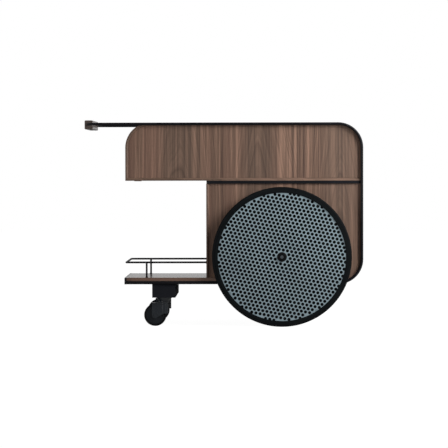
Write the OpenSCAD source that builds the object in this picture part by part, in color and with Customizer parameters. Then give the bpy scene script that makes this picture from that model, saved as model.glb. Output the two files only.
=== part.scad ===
// Bar cart: a steel rod frame carries a long walnut box over a walnut cabinet and shelf.
// Two large drum wheels with perforated discs turn on one axle, two fork castors swivel at
// the handle end. Millimetres. X runs from the handle to the round end, Y across the cart
// with the front at -Y, Z up from the floor. The origin is under the middle of the cart.

/* [Overall] */
// Length from the grip to the round end
overall_l = 1025; // [980:1:1080]
// Height of the top of the frame above the floor
frame_top = 748.5; // [735:0.5:770]
// Depth of the boxes and the shelf
body_d = 410; // [380:1:450]

/* [Frame] */
// Diameter of the frame rods
rod_d = 10; // [8:0.5:11]
// Outer radius of the frame's round corners
corner_r = 91.7; // [80:0.1:105]
// Height of the underside of the frame above the floor
frame_bottom = 155; // [150:0.5:162]
// Radius of the bend into the handle, on the rod's centre line
handle_bend_r = 35; // [26:1:45]
// Thickness of the flat bar across the shelf's free end
end_bar_t = 7; // [5:0.5:10]
// Width of the flat ties between the lower rods
tie_w = 40; // [30:1:60]
// Thickness of those ties
tie_t = 5; // [4:0.5:8]
// Diameter of the heads of the frame screws
screw_head_d = 5; // [4:0.5:6]
// Diameter of the shanks of the frame screws
screw_d = 3; // [2.5:0.5:3.5]
// Depth that the frame screws reach into the boxes
screw_bite = 15; // [10:1:25]
// Place of the first top screw, from the round end
screw_x1 = 662; // [600:1:700]
// Place of the second top screw, from the round end
screw_x2 = 283; // [200:1:340]
// Distance of the round end's screw below the deck
screw_drop = 68; // [40:1:110]

/* [Grip] */
// Width of the leather grip along the cart
grip_w = 30; // [26:1:36]
// Height of the leather grip
grip_h = 33; // [28:1:38]
// Radius of the grip's long edges
grip_round = 3.5; // [2:0.5:8]
// How far the grip's middle lies below the rods' middle
grip_drop = 2; // [0:0.5:4]
// Length of the leather grip
grip_l = 330; // [260:1:340]
// Thickness of the leather plate at each end of the grip
grip_end_t = 4; // [3:0.5:8]
// How much smaller than the grip those plates are, all round
grip_end_step = 0.7; // [0.4:0.1:1.5]

/* [Boxes] */
// Thickness of the bent walnut shells
shell_t = 10; // [9:0.5:12]
// Width of the flat on a shell's edge, outside its bevel
lip_w = 5; // [4:0.5:6]
// Depth of the side panels behind the shell's edge
panel_recess = 6; // [4:0.5:9]
// Thickness of the side panels
panel_t = 12; // [10:0.5:15]
// Section of the battens behind the side panels
batten_w = 12; // [9:0.5:12]
// Length of the upper box
upper_l = 873; // [840:1:890]
// Height of the upper box
upper_h = 213.5; // [205:0.5:225]
// Thickness of the black deck between the boxes
deck_t = 11; // [9:0.5:16]
// Length of the lower cabinet
lower_l = 576; // [540:1:600]
// Depth of the open niche in the lower cabinet
niche_l = 225; // [200:1:240]
// Thickness of the board behind the niche
niche_back_t = 12; // [9:0.5:15]

/* [Drawer] */
// Height of the drawer front
drawer_front_h = 114; // [105:1:118]
// Length of the drawer front's return under the box
drawer_return_l = 64; // [50:1:80]
// Length of the drawer box
drawer_l = 370; // [320:1:420]
// Height of the drawer's sides
drawer_side_h = 90; // [70:1:92]
// Thickness of the drawer's sides and back
drawer_side_t = 12; // [9:0.5:14]
// Thickness of the drawer's bottom
drawer_bottom_t = 6; // [4:0.5:8]
// Height of the runners
runner_h = 34; // [28:1:40]
// Wall of the runner channels
runner_wall = 1.5; // [1:0.1:2]
// Play between drawer and box
drawer_gap = 0.5; // [0.4:0.1:1]
// Diameter of the finger button under the drawer front
pull_d = 28; // [20:1:34]
// Height of the finger button
pull_h = 2.5; // [1.5:0.5:6]

/* [Shelf] */
// Length of the frame from the shelf's end to the round end
shelf_l = 876.5; // [850:0.5:895]
// Thickness of the shelf board
shelf_t = 14; // [12:0.5:18]
// Diameter of the gallery rail
rail_d = 7; // [5:0.5:8]
// Height of the rail's centre line above the shelf
rail_h = 56; // [45:1:80]
// Distance of the rail from the shelf's free end
rail_inset = 6; // [4:0.5:15]
// Radius of the rail's two corners, on its centre line
rail_bend_r = 9; // [7:0.5:16]
// Distance of the posts from the shelf's free end
post_x = 81; // [50:1:150]
// Diameter of the posts
post_d = 7; // [5:0.5:8]
// Diameter of the collars at the rail's ends and the posts' feet
collar_d = 10; // [9:0.5:12]
// Thickness of those collars
collar_t = 1.5; // [1:0.5:3]

/* [Big wheels] */
// Outer diameter of a big wheel
wheel_d = 512; // [490:1:530]
// Width of a big wheel
wheel_w = 26; // [24:0.5:34]
// Distance of the wheel axle from the round end
wheel_x_end = 298.5; // [285:0.5:310]
// Gap between the frame rods and a big wheel
wheel_gap = 6; // [4:0.5:10]
// Thickness of the rubber tyre
tyre_t = 10; // [8:0.5:12]
// Width of the grooves in the tread
groove_w = 1.6; // [1:0.1:2]
// Depth of those grooves
groove_depth = 1.5; // [1:0.1:2.5]
// Spacing of those grooves
groove_pitch = 5.5; // [4:0.5:6]
// Width of the black ring around the perforated disc
rim_ring = 21.5; // [20:0.5:26]
// Thickness of the rim's hoop
hoop_t = 7; // [5:0.5:9]
// Thickness of the rim's lips
rim_lip_t = 2.5; // [2:0.5:4]
// Thickness of the perforated disc
disc_t = 2; // [1.5:0.5:3]
// Diameter of the holes in the disc
hole_d = 10; // [8:0.5:11]
// Spacing of the holes along a row
hole_pitch = 15.4; // [14.5:0.1:18]
// Spacing of the rows of holes
row_pitch = 12.9; // [12.5:0.1:16]
// Slope of the rows of holes in degrees
row_angle = -11.25; // [-30:0.25:30]
// Thickness of the closed disc behind the perforated one
backing_t = 2; // [1.5:0.5:3]
// Diameter of the hub's barrel
hub_d = 44; // [38:1:60]
// Diameter of the hub's flange
hub_flange_d = 110; // [80:1:140]
// Thickness of the hub's flange
hub_flange_t = 3; // [2:0.5:5]
// Diameter of the axle
axle_d = 15; // [12:0.5:17]
// Outer diameter of the ball bearings
bearing_d = 28; // [26:0.5:32]
// Width of a ball bearing
bearing_w = 6; // [5:0.5:6.5]
// Diameter of the hub cap
cap_d = 33; // [31:0.5:44]
// Height of the hub cap over the rim
cap_h = 4; // [3:0.5:8]
// Diameter of the plain plug in the hub cap
plug_d = 12.5; // [10:0.5:16]
// Thickness of that plug
plug_t = 2.5; // [1.5:0.5:3]
// Diameter of the axle's flange inside the cabinet
axle_flange_d = 90; // [70:1:110]

/* [Castors] */
// Length of the castor beam along the cart
beam_l = 79; // [74:0.5:100]
// Wall of the castor beam
beam_wall = 3; // [2:0.5:4]
// Distance of the castor beam's middle from the round end
beam_x_end = 732.5; // [700:0.5:740]
// Height of a castor
castor_h = 110; // [106:0.5:114]
// Diameter of the castor wheels
castor_d = 82; // [72:1:84]
// Width of a castor wheel
castor_wheel_w = 20; // [16:0.5:22]
// Thickness of the tread on a castor wheel
castor_tread = 9; // [6:0.5:11]
// Distance of a castor's swivel axis from the cart's middle
castor_y = 172; // [150:1:178]
// Trail of the castor wheels behind the swivel axis
castor_trail = 32.5; // [28:0.5:38]
// Diameter of the castor head at the beam
head_d = 63; // [54:1:68]
// Diameter of the castor head at its lower edge
head_low_d = 36; // [34:1:46]
// Height of the castor head
head_h = 17.5; // [14:0.5:20]
// Diameter of the castor's neck
neck_d = 30; // [28:0.5:33]
// Height of the neck's lower end over the castor wheel's axle
neck_drop = 5; // [2:1:12]
// Thickness of the legs beside a castor wheel
leg_t = 2.8; // [2:0.1:4]
// Radius of the legs' round ends
leg_r = 12; // [9:0.5:14]
// Diameter of the kingpin
kingpin_d = 10; // [8:0.5:12]
// Diameter of the castor's axle pin
castor_pin_d = 8; // [6:0.5:9]
// Diameter of the axle pin's heads
pin_head_d = 11; // [9:0.5:14]

/* [Hidden] */

$fn = 96;
eps = 0.01;     // overlap of parts of one piece, so that they fuse
seat = 0.3;     // clearance of a curved seat
snug = 0.1;     // clearance of a pressed or screwed fit
run = 0.05;     // radial clearance of a running fit

// colours as they show in the photograph
black_steel = [0.09, 0.09, 0.10];
walnut = [0.43, 0.34, 0.29];
walnut_dark = [0.28, 0.22, 0.19];
black_board = [0.12, 0.11, 0.11];
leather = [0.30, 0.26, 0.24];
disc_grey = [0.48, 0.56, 0.58];
rubber = [0.09, 0.11, 0.12];
nylon = [0.13, 0.14, 0.15];
bare_steel = [0.62, 0.63, 0.64];

// frame
x_end = overall_l / 2;
corner_x = x_end - corner_r;
top_corner_z = frame_top - corner_r;
low_corner_z = frame_bottom + corner_r;
half_d = body_d / 2;
rod_r = rod_d / 2;
rod_y = half_d + seat + rod_r;
rod_top_z = frame_top - rod_r;
rod_low_z = frame_bottom + rod_r;
handle_x = -x_end + grip_w / 2;
grip_z = rod_top_z - grip_drop;
shelf_x = x_end - shelf_l;
shelf_x0 = shelf_x + end_bar_t;
shelf_z = frame_bottom + rod_d;
shelf_top = shelf_z + shelf_t;

// boxes
upper_x = x_end - upper_l;
upper_z = frame_top - upper_h;
deck_z = upper_z - deck_t;
lower_x = x_end - lower_l;
screw_z = deck_z - screw_drop;
panel_out = half_d - panel_recess;
panel_in = panel_out - panel_t;
batten_in = panel_in - batten_w;
niche_back_x = lower_x + niche_l;

// drawer
return_end = upper_x + drawer_return_l;
drawer_top = upper_z + drawer_front_h;
drawer_x = upper_x + shell_t;
drawer_z = upper_z + shell_t + 8 * drawer_gap;
slide_t = 10;
drawer_out = batten_in - 2 * drawer_gap;
drawer_in = drawer_out - drawer_side_t;
drawer_mid_z = drawer_z + drawer_side_h / 2;
channel_l = drawer_l - 10;

// gallery
rail_y = panel_out - rail_d / 2 - seat;
rail_x = shelf_x + rail_inset;
rail_z = shelf_top + rail_h;

// big wheels, measured outwards from the cart's middle
wheel_x = x_end - wheel_x_end;
wheel_z = wheel_d / 2;
wheel_r = wheel_d / 2;
wheel_in = rod_y + rod_r + wheel_gap;
wheel_out = wheel_in + wheel_w;
rim_r = wheel_r - tyre_t;
ring_r = wheel_r - rim_ring;
hoop_r = rim_r - hoop_t;
disc_r = hoop_r - snug;
disc_out = wheel_out - rim_lip_t;
disc_in = disc_out - disc_t;
backing_in = wheel_in + rim_lip_t;
backing_out = backing_in + backing_t;
hub_in = wheel_in + 1;
hub_out = disc_in - snug;
bearing_1 = hub_in + 1;
bearing_2 = bearing_1 + bearing_w + 1;
nut_in = bearing_2 + bearing_w + snug;
axle_end = hub_out - snug;
cap_top = wheel_out + cap_h;
shoulder_d = axle_d + 4;
hole_r = hole_d / 2;
hole_limit = disc_r - hole_r - 1;
hub_clear = cap_d / 2 + hole_r + 2;

// castors
castor_x = x_end - beam_x_end;
castor_r = castor_d / 2;
beam_top = shelf_z - tie_t;
castor_axle_x = castor_x - castor_trail;
wheel_play = 0.8;
hood_gap = 3;
leg_in = castor_wheel_w / 2 + wheel_play;
leg_out = leg_in + leg_t;
castor_core_r = castor_r - castor_tread;
hood_r = castor_r + hood_gap;
body_top = castor_h - head_h - 1;
pin_reach = castor_trail - kingpin_d / 2 - run;
pin_low = castor_r + sqrt(pow(hood_r, 2) - pow(pin_reach, 2)) + hood_gap;

// A flat outline in X and Z, made solid between two distances in front of the middle
module slab(y0, y1) {
    translate([0, -y0, 0])
        rotate([90, 0, 0])
            linear_extrude(y1 - y0)
                children();
}

// A profile of radius and distance from the middle, turned about an axis across the cart
module turned(x, z) {
    translate([x, 0, z])
        rotate([90, 0, 0])
            rotate_extrude()
                children();
}

// The same piece for the back of the cart
module at_back() {
    mirror([0, 1, 0])
        children();
}

// One piece in front and its mirror image behind
module both_sides() {
    children();
    at_back()
        children();
}

// A block between two corners
module block(low, high) {
    translate(low)
        cube(high - low);
}

// A rectangle between two corners
module plate(low, high) {
    translate(low)
        square(high - low);
}

// A rectangle in X and Z whose right corners are round
module round_end(x0, x1, z0, z1, r) {
    plate([x0, z0], [x1 - r, z1]);
    plate([x1 - r - eps, z0 + r], [x1, z1 - r]);
    for (z = [z0 + r, z1 - r])
        translate([x1 - r, z])
            circle(r);
}

// A rectangle in X and Z with both top corners round
module round_top(x0, x1, z0, z1, r) {
    plate([x0, z0], [x1, z1 - r]);
    plate([x0 + r, z1 - r - eps], [x1 - r, z1]);
    for (x = [x0 + r, x1 - r])
        translate([x, z1 - r])
            circle(r);
}

// A rectangle in X and Z with all its corners round
module round_plate(x0, x1, z0, z1, r) {
    plate([x0 + r, z0], [x1 - r, z1]);
    plate([x0, z0 + r], [x1, z1 - r]);
    for (x = [x0 + r, x1 - r])
        for (z = [z0 + r, z1 - r])
            translate([x, z])
                circle(r);
}

// A bar between two points on a line along X, Y or Z
module rod_x(x0, x1, y, z, d) {
    translate([x0, y, z])
        rotate([0, 90, 0])
            cylinder(h = x1 - x0, d = d);
}

module rod_y(y0, y1, x, z, d) {
    translate([x, y0, z])
        rotate([-90, 0, 0])
            cylinder(h = y1 - y0, d = d);
}

module rod_z(z0, z1, x, y, d) {
    translate([x, y, z0])
        cylinder(h = z1 - z0, d = d);
}

// A quarter bend of a rod, from +X towards +Y, in its own plane
module quarter_bend(r, d) {
    rotate_extrude(angle = 90)
        translate([r, 0])
            circle(d = d);
}

// A shell's section: its thickness along X from the outside in, its edges bevelled inwards
module shell_section() {
    polygon([[0, -half_d], [lip_w, -half_d], [shell_t, -half_d + shell_t - lip_w],
        [shell_t, half_d - shell_t + lip_w], [lip_w, half_d], [0, half_d]]);
}

// Straight walls of a shell, named for the side of the box that they close
module shell_left(x, z0, z1) {
    translate([x, 0, z0])
        linear_extrude(z1 - z0)
            shell_section();
}

module shell_right(x, z0, z1) {
    translate([x, 0, 0])
        mirror([1, 0, 0])
            shell_left(0, z0, z1);
}

module shell_top(x0, x1, z) {
    translate([x0, 0, z])
        rotate([0, 90, 0])
            linear_extrude(x1 - x0)
                shell_section();
}

module shell_bottom(x0, x1, z) {
    translate([0, 0, z])
        mirror([0, 0, 1])
            shell_top(x0, x1, 0);
}

// A quarter corner of a shell, starting at the given angle from +X towards +Z
module shell_corner(x, z, start) {
    translate([x, 0, z])
        rotate([90, 0, 0])
            rotate([0, 0, start])
                rotate_extrude(angle = 90)
                    translate([corner_r, 0])
                        mirror([1, 0])
                            shell_section();
}

// Where the frame screws stand, as [x, z] on the rods' centre lines
screw_places = [[x_end - screw_x1, rod_top_z], [x_end - screw_x2, rod_top_z],
    [x_end - rod_r, screw_z]];
screw_tip = half_d - screw_bite;
screw_head_in = rod_y + rod_r - 2.5;
screw_head_out = rod_y + rod_r - 0.2;

module screw_holes() {
    for (p = screw_places) {
        rod_y(-rod_y - rod_d, -screw_tip + snug, p[0], p[1], screw_d + 2 * run);
        rod_y(-rod_y - rod_d, -screw_head_in + run, p[0], p[1], screw_head_d + 2 * run);
    }
}

// Frame

module side_rod() {
    color(black_steel)
        difference() {
            union() {
                rod_x(handle_x + handle_bend_r - eps, corner_x + eps, -rod_y, rod_top_z, rod_d);
                translate([handle_x + handle_bend_r, -rod_y + handle_bend_r, rod_top_z])
                    rotate([0, 0, 180])
                        quarter_bend(handle_bend_r, rod_d);
                translate([corner_x, -rod_y, top_corner_z])
                    rotate([90, 0, 0])
                        quarter_bend(corner_r - rod_r, rod_d);
                rod_z(low_corner_z - eps, top_corner_z + eps, x_end - rod_r, -rod_y, rod_d);
                translate([corner_x, -rod_y, low_corner_z])
                    rotate([90, 90, 0])
                        quarter_bend(corner_r - rod_r, rod_d);
                rod_x(shelf_x0, corner_x + eps, -rod_y, rod_low_z, rod_d);
            }
            screw_holes();
        }
}

module side_rod_front() {
    side_rod();
}

module side_rod_back() {
    at_back()
        side_rod();
}

bar_half = rod_y - handle_bend_r;

module handle_bar() {
    color(black_steel)
        rod_y(-bar_half, bar_half, handle_x, rod_top_z, rod_d);
}

grip_half = grip_l / 2;

// The grip's section, made smaller by a step, with its bore for the bar
module grip_section(step) {
    half_w = grip_w / 2 - step;
    half_h = grip_h / 2 - step;
    difference() {
        round_plate(handle_x - half_w, handle_x + half_w, grip_z - half_h, grip_z + half_h,
            grip_round - step);
        translate([handle_x, rod_top_z])
            circle(rod_r + snug);
    }
}

module handle_grip() {
    color(leather)
        slab(-grip_half + grip_end_t, grip_half - grip_end_t)
            grip_section(0);
}

module grip_ends() {
    color(leather)
        both_sides()
            slab(grip_half - grip_end_t, grip_half)
                grip_section(grip_end_step);
}

module frame_screws() {
    color(bare_steel)
        both_sides()
            for (p = screw_places) {
                rod_y(-screw_head_in - eps, -screw_tip, p[0], p[1], screw_d);
                rod_y(-screw_head_out, -screw_head_in, p[0], p[1], screw_head_d);
            }
}

module shelf_end_bar() {
    bar_out = rod_y + rod_r;
    color(black_steel)
        block([shelf_x, -bar_out, frame_bottom], [shelf_x0, bar_out, shelf_top]);
}

tie_places = [shelf_x0 + tie_w, castor_x, lower_x, lower_x + lower_l / 3, corner_x - 2 * tie_w];

module cross_ties() {
    color(black_steel)
        for (x = tie_places)
            block([x - tie_w / 2, -half_d, shelf_z - tie_t],
                [x + tie_w / 2, half_d, shelf_z]);
}

beam_half_l = beam_l / 2;
plate_t = 2;

module castor_beam() {
    color(black_steel)
        difference() {
            block([castor_x - beam_half_l, -half_d, castor_h],
                [castor_x + beam_half_l, half_d, beam_top]);
            block([castor_x - beam_half_l + beam_wall, -half_d - 1, castor_h + beam_wall],
                [castor_x + beam_half_l - beam_wall, half_d + 1, beam_top - beam_wall]);
            both_sides()
                rod_z(castor_h - 1, castor_h + beam_wall + 1, castor_x, -castor_y,
                    kingpin_d + 2 * snug);
        }
}

module beam_end_plates() {
    color(black_steel)
        both_sides()
            block([castor_x - beam_half_l, -half_d - plate_t, castor_h],
                [castor_x + beam_half_l, -half_d, frame_bottom]);
}

// Upper box

module upper_shell() {
    left_corner_x = upper_x + corner_r;
    color(walnut)
        difference() {
            union() {
                shell_left(upper_x, drawer_top + drawer_gap, top_corner_z);
                shell_corner(left_corner_x, top_corner_z, 90);
                shell_top(left_corner_x, corner_x, frame_top);
                shell_corner(corner_x, top_corner_z, 0);
                shell_right(x_end, upper_z, top_corner_z);
                shell_bottom(return_end + drawer_gap, x_end, upper_z);
            }
            both_sides()
                screw_holes();
        }
}

// The outline inside the upper shell, made smaller by a gap
module upper_inside(gap) {
    round_top(upper_x + shell_t + gap, x_end - shell_t - gap,
        upper_z + shell_t + gap, frame_top - shell_t - gap, corner_r - shell_t - gap);
}

module upper_panel() {
    color(walnut)
        slab(panel_in, panel_out)
            upper_inside(seat);
}

module upper_panel_front() {
    upper_panel();
}

module upper_panel_back() {
    at_back()
        upper_panel();
}

module upper_battens() {
    color(black_board)
        both_sides()
            slab(batten_in, panel_in)
                difference() {
                    upper_inside(seat);
                    upper_inside(batten_w);
                    plate([upper_x, upper_z],
                        [return_end + 2 * batten_w, drawer_top + 2 * drawer_gap]);
                    plate([upper_x, upper_z],
                        [upper_x + shell_t + batten_w + 1, top_corner_z]);
                }
}

module middle_deck() {
    color(black_steel)
        block([lower_x + 1, -half_d, deck_z], [x_end, half_d, upper_z]);
}

// Lower cabinet

module lower_shell() {
    color(walnut)
        difference() {
            union() {
                shell_right(x_end, low_corner_z, deck_z);
                shell_corner(corner_x, low_corner_z, -90);
                shell_bottom(corner_x - tie_w, corner_x, frame_bottom);
            }
            both_sides()
                screw_holes();
        }
}

// The outline inside the lower cabinet, made smaller by a gap
module lower_inside(gap) {
    difference() {
        round_end(lower_x + shell_t + gap, x_end - shell_t - gap,
            frame_bottom + shell_t + gap, deck_z - gap, corner_r - shell_t - gap);
        plate([lower_x, frame_bottom], [corner_x + gap, shelf_top + gap]);
    }
    plate([corner_x - corner_r, deck_z - corner_r], [x_end - shell_t - gap, deck_z - gap]);
}

module lower_panel() {
    color(walnut)
        difference() {
            slab(panel_in, panel_out)
                lower_inside(seat);
            rod_y(-half_d, -batten_in, wheel_x, wheel_z, hub_d - 8 + 2 * snug);
        }
}

module lower_panel_front() {
    lower_panel();
}

module lower_panel_back() {
    at_back()
        lower_panel();
}

module lower_battens() {
    color(black_board)
        both_sides()
            slab(batten_in, panel_in)
                difference() {
                    lower_inside(seat);
                    lower_inside(batten_w);
                    plate([lower_x, frame_bottom], [niche_back_x, deck_z]);
                    translate([wheel_x, wheel_z])
                        circle(d = axle_flange_d + 2 * seat);
                }
}

module niche_stiles() {
    color(walnut)
        both_sides()
            translate([0, 0, shelf_top])
                linear_extrude(deck_z - shelf_top)
                    polygon([[lower_x, -half_d], [lower_x + lip_w, -half_d],
                        [lower_x + shell_t, -half_d + shell_t - lip_w],
                        [lower_x + shell_t, -panel_in], [lower_x, -panel_in]]);
}

module niche_back() {
    color(walnut_dark)
        block([niche_back_x - niche_back_t, -panel_in + snug, shelf_top],
            [niche_back_x, panel_in - snug, deck_z]);
}

// Shelf

module shelf_board() {
    color(walnut)
        block([shelf_x0, -half_d, shelf_z], [corner_x, half_d, shelf_top]);
}

module gallery_rail() {
    straight_y = rail_y - rail_bend_r;
    color(black_steel) {
        both_sides() {
            rod_x(rail_x + rail_bend_r, lower_x - collar_t, -rail_y, rail_z, rail_d);
            translate([rail_x + rail_bend_r, -straight_y, rail_z])
                rotate([0, 0, 180])
                    quarter_bend(rail_bend_r, rail_d);
        }
        rod_y(-straight_y, straight_y, rail_x, rail_z, rail_d);
    }
}

module gallery_posts() {
    color(black_steel)
        both_sides()
            rod_z(shelf_top + collar_t, rail_z - rail_d / 2 - snug, shelf_x + post_x,
                -rail_y, post_d);
}

module rail_collars() {
    color(black_steel)
        both_sides() {
            rod_x(lower_x - collar_t, lower_x, -rail_y, rail_z, collar_d);
            rod_z(shelf_top, shelf_top + collar_t, shelf_x + post_x, -rail_y, collar_d);
        }
}

// Axle of the big wheels

boss_d = hub_d - 8;
boss_out = panel_out + 3;

module wheel_axle() {
    color(bare_steel) {
        rod_y(-boss_out - 3, boss_out + 3, wheel_x, wheel_z, axle_d);
        both_sides() {
            rod_y(-bearing_1 + snug, -boss_out - snug, wheel_x, wheel_z, shoulder_d);
            rod_y(-axle_end, -boss_out, wheel_x, wheel_z, axle_d);
        }
    }
}

module axle_flanges() {
    color(black_steel)
        both_sides()
            turned(wheel_x, wheel_z) {
                plate([axle_d / 2 + snug, panel_in - 6], [axle_flange_d / 2, panel_in]);
                plate([axle_d / 2 + snug, panel_in - eps], [boss_d / 2, boss_out]);
            }
}

module axle_nuts() {
    color(bare_steel)
        both_sides()
            difference() {
                rod_y(-axle_end, -nut_in, wheel_x, wheel_z, bearing_d - 5);
                rod_y(-axle_end - 1, -nut_in + 1, wheel_x, wheel_z, axle_d + 2 * snug);
            }
}

// Drawer

channel_half = runner_h / 2;
slide_half = channel_half - runner_wall - drawer_gap;
slide_out = panel_in - runner_wall - drawer_gap;

module runner_channels() {
    channel_in = batten_in;
    color(bare_steel)
        both_sides()
            difference() {
                block([drawer_x + 2, -panel_in, drawer_mid_z - channel_half],
                    [drawer_x + 2 + channel_l, -channel_in, drawer_mid_z + channel_half]);
                block([drawer_x, -panel_in + runner_wall,
                        drawer_mid_z - channel_half + runner_wall],
                    [drawer_x + 4 + channel_l, -channel_in + 1,
                        drawer_mid_z + channel_half - runner_wall]);
            }
}

module drawer_front() {
    color(walnut) {
        shell_left(upper_x, upper_z, drawer_top);
        shell_bottom(upper_x, return_end, upper_z);
        block([drawer_x - eps, -drawer_out, upper_z + shell_t - eps],
            [return_end, drawer_out, drawer_z]);
    }
}

module drawer_sides() {
    color(walnut_dark)
        both_sides()
            difference() {
                block([drawer_x, -drawer_out, drawer_z],
                    [drawer_x + drawer_l, -drawer_in, drawer_z + drawer_side_h]);
                block([drawer_x - 1, -drawer_in - 4, drawer_z + 5],
                    [drawer_x + drawer_l + 1, -drawer_in + 1, drawer_z + 5 + drawer_bottom_t]);
            }
}

module drawer_back() {
    color(walnut_dark)
        block([drawer_x + drawer_l - drawer_side_t, -drawer_in, drawer_z + 5 + drawer_bottom_t],
            [drawer_x + drawer_l, drawer_in, drawer_z + drawer_side_h - 8]);
}

module drawer_bottom() {
    color(black_board)
        block([drawer_x, -drawer_in - 4 + snug, drawer_z + 5],
            [drawer_x + drawer_l, drawer_in + 4 - snug, drawer_z + 5 + drawer_bottom_t]);
}

module drawer_slides() {
    color(bare_steel)
        both_sides()
            slab(drawer_out, slide_out) {
                plate([drawer_x + 2 + slide_half, drawer_mid_z - slide_half],
                    [drawer_x + 2 + channel_l - slide_half, drawer_mid_z + slide_half]);
                for (x = [drawer_x + 2 + slide_half, drawer_x + 2 + channel_l - slide_half])
                    translate([x, drawer_mid_z])
                        circle(slide_half);
            }
}

module drawer_pull() {
    pull_x = upper_x + (shell_t + drawer_return_l) / 2;
    color(walnut_dark)
        translate([pull_x, 0, upper_z])
            mirror([0, 0, 1])
                rotate_extrude() {
                    plate([0, 0], [pull_d / 2 - 2, pull_h]);
                    plate([0, 0], [pull_d / 2, pull_h - 2]);
                    translate([pull_d / 2 - 2, pull_h - 2])
                        intersection() {
                            circle(2);
                            square(2);
                        }
                }
}

// Big wheels

module tyre() {
    shoulder = tyre_t * 0.45;
    middle = (wheel_in + wheel_out) / 2;
    color(rubber)
        turned(wheel_x, wheel_z)
            difference() {
                union() {
                    plate([rim_r, wheel_in + 1], [wheel_r - shoulder, wheel_out - 1]);
                    plate([rim_r, wheel_in + 1 + shoulder], [wheel_r, wheel_out - 1 - shoulder]);
                    for (y = [wheel_in + 1 + shoulder, wheel_out - 1 - shoulder])
                        translate([wheel_r - shoulder, y])
                            circle(shoulder);
                }
                for (i = [-1:1])
                    translate([wheel_r, middle + i * groove_pitch])
                        square([2 * groove_depth, groove_w], center = true);
            }
}

module rim() {
    color(black_steel)
        turned(wheel_x, wheel_z) {
            plate([ring_r, wheel_in], [rim_r - 1, backing_in]);
            plate([hoop_r, wheel_in + 1], [rim_r, wheel_out - 1]);
            plate([ring_r, disc_out], [rim_r - 1, wheel_out]);
        }
}

rows = ceil(hole_limit / row_pitch);
columns = ceil(hole_limit / hole_pitch) + 1;

module perforated_disc() {
    color(disc_grey)
        translate([wheel_x, 0, wheel_z])
            slab(disc_in, disc_out)
                difference() {
                    circle(disc_r);
                    circle(d = hub_d - 12);
                    rotate(row_angle)
                        for (i = [-rows:rows])
                            for (j = [-columns:columns]) {
                                x = (j + (i % 2 == 0 ? 0 : 0.5)) * hole_pitch;
                                z = i * row_pitch;
                                d = norm([x, z]);
                                if (d < hole_limit && d > hub_clear)
                                    translate([x, z])
                                        circle(d = hole_d);
                            }
                }
}

module backing_disc() {
    color(black_board)
        turned(wheel_x, wheel_z)
            plate([hub_d / 2 + snug, backing_in], [disc_r, backing_out]);
}

module hub() {
    color(black_steel)
        turned(wheel_x, wheel_z)
            difference() {
                union() {
                    plate([0, hub_in], [hub_d / 2, hub_out]);
                    plate([0, backing_out], [hub_flange_d / 2, backing_out + hub_flange_t]);
                    polygon([[hub_d / 2 - 1, backing_out + hub_flange_t - 1],
                        [hub_d / 2 + 8, backing_out + hub_flange_t - eps],
                        [hub_d / 2 - 1, backing_out + hub_flange_t + 9]]);
                }
                plate([-1, hub_in - 1], [shoulder_d / 2 + 2, hub_out + 1]);
                plate([-1, bearing_1], [bearing_d / 2, hub_out + 1]);
            }
}

module bearings() {
    color(bare_steel)
        turned(wheel_x, wheel_z)
            for (y = [bearing_1, bearing_2])
                difference() {
                    plate([axle_d / 2 + run, y], [bearing_d / 2, y + bearing_w]);
                    for (s = [0, 1])
                        translate([(axle_d + bearing_d) / 4, y + s * bearing_w])
                            square([2, 1.2], center = true);
                }
}

module hub_cap() {
    cap_round = 3;
    color(black_steel)
        turned(wheel_x, wheel_z)
            difference() {
                union() {
                    plate([0, hub_out], [hub_d / 2 - 6 - snug, disc_out]);
                    plate([0, disc_out], [cap_d / 2, cap_top - cap_round]);
                    plate([0, disc_out], [cap_d / 2 - cap_round, cap_top]);
                    translate([cap_d / 2 - cap_round, cap_top - cap_round])
                        circle(cap_round);
                }
                plate([-1, cap_top - plug_t], [plug_d / 2, cap_top + 1]);
                plate([-1, hub_out - 1], [bearing_d / 2 - 4, hub_out + 1]);
            }
}

module hub_plug() {
    plug_r = plug_d / 2 - snug;
    color(bare_steel)
        turned(wheel_x, wheel_z)
            polygon([[0, cap_top - plug_t], [plug_r, cap_top - plug_t],
                [plug_r, cap_top - 1], [plug_r - 0.6, cap_top - 0.4], [0, cap_top - 0.4]]);
}

module tyre_front() {
    tyre();
}

module tyre_back() {
    at_back()
        tyre();
}

module rim_front() {
    rim();
}

module rim_back() {
    at_back()
        rim();
}

module perforated_disc_front() {
    perforated_disc();
}

module perforated_disc_back() {
    at_back()
        perforated_disc();
}

module backing_disc_front() {
    backing_disc();
}

module backing_disc_back() {
    at_back()
        backing_disc();
}

module hub_front() {
    hub();
}

module hub_back() {
    at_back()
        hub();
}

module bearings_front() {
    bearings();
}

module bearings_back() {
    at_back()
        bearings();
}

module hub_cap_front() {
    hub_cap();
}

module hub_cap_back() {
    at_back()
        hub_cap();
}

module hub_plug_front() {
    hub_plug();
}

module hub_plug_back() {
    at_back()
        hub_plug();
}

// Castors

stud_top = castor_h + beam_wall + 5;
hood_left = castor_axle_x - leg_r;
neck_low = castor_r + neck_drop;

module castor_head() {
    color(nylon)
        translate([castor_x, -castor_y, 0])
            rotate_extrude()
                polygon([[0, pin_low], [kingpin_d / 2, pin_low],
                    [kingpin_d / 2, castor_h - head_h], [head_low_d / 2, castor_h - head_h],
                    [head_d / 2 - 3, castor_h - head_h * 0.35],
                    [head_d / 2, castor_h - 2.5], [head_d / 2, castor_h],
                    [kingpin_d / 2, castor_h], [kingpin_d / 2, stud_top], [0, stud_top]]);
}

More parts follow.
